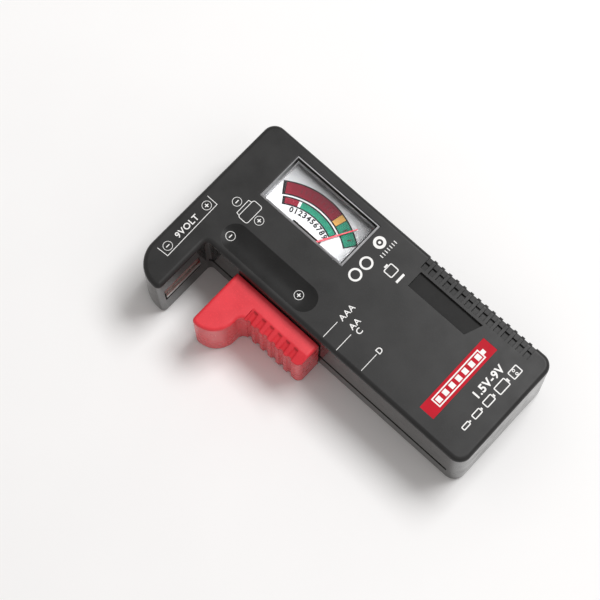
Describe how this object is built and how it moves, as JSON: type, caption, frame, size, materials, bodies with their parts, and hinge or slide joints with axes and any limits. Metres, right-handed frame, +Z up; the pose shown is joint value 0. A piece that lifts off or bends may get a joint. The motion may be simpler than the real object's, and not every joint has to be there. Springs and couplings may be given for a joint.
{
  "type": "battery tester",
  "caption": "Hand-held analogue battery tester with an L-shaped case, a sprung red slider that clamps a cell against the arm, and a moving-coil meter.",
  "frame": {"origin": "middle of the bounding box at the flat back the tester lies on", "axes": "+X along the body from the arm end to the plain end, +Y from the slider side to the ribbed edge, +Z up through the dial"},
  "size_m": [0.1118, 0.0616, 0.0251],
  "materials": {
    "black_abs": "satin moulded",
    "red_abs": "satin moulded",
    "red_print": "printed panel",
    "clear_plastic": "polished clear plastic",
    "dial_white": "printed sheet",
    "pointer_red": "painted",
    "nickel": "plated spring strip",
    "steel": "plain",
    "brass": "plain",
    "copper_winding": "enamelled wire",
    "aluminium": "plain",
    "ferrite": "ground",
    "white_nylon": "moulded",
    "board_laminate": "paper laminate",
    "resistor_body": "lacquered",
    "red_insulation": "wire insulation",
    "black_insulation": "wire insulation"
  },
  "bodies": {
    "case": {"front_housing": "black_abs", "rear_cover": "black_abs", "case_screws": "steel", "label_plate": "red_print", "spring_terminal": "brass", "cell_negative_contact": "nickel", "nine_volt_positive_contact": "nickel", "nine_volt_negative_contact": "nickel", "meter_tray": "black_abs", "yoke_ring": "steel", "core_magnet": "ferrite", "core_lugs": "brass", "lower_jewel": "brass", "upper_bridge": "brass", "upper_jewel": "brass", "upper_hairspring": "brass", "lower_hairspring": "brass", "dial_plate": "dial_white", "meter_window": "clear_plastic", "circuit_board": "board_laminate", "board_screws": "steel", "nine_volt_load_resistor": "resistor_body", "cell_load_resistor": "resistor_body", "meter_series_resistor": "resistor_body", "meter_lug_positive": "brass", "meter_lug_negative": "brass", "wire_nine_volt_positive": "red_insulation", "wire_cell_negative": "black_insulation", "wire_spring_terminal": "red_insulation", "wire_meter_positive": "red_insulation", "wire_meter_negative": "black_insulation"},
    "slider": {"slider_knob": "red_abs", "slider_contact": "nickel", "slider_carriage": "white_nylon", "carriage_screws": "steel", "return_spring": "steel"},
    "meter_movement": {"pointer": "pointer_red", "pointer_counterweight": "brass", "coil_former": "aluminium", "coil_winding": "copper_winding", "lower_pivot": "steel", "upper_pivot": "steel"}
  },
  "joints": [
    {"name": "slider_travel", "type": "slide", "parent": "case", "child": "slider", "axis": [1, 0, 0], "range_m": [0, 0.0498], "stiffness_N_per_m": 15, "springref_m": -0.03, "deforming": ["return_spring"]},
    {"name": "pointer_swing", "type": "hinge", "parent": "case", "child": "meter_movement", "pos_m": [-0.0244, 0.00425, 0.0169], "axis": [0, 0, 1], "range_deg": [-5.5, 64.5], "stiffness_Nm_per_rad": 0.00001}
  ]
}
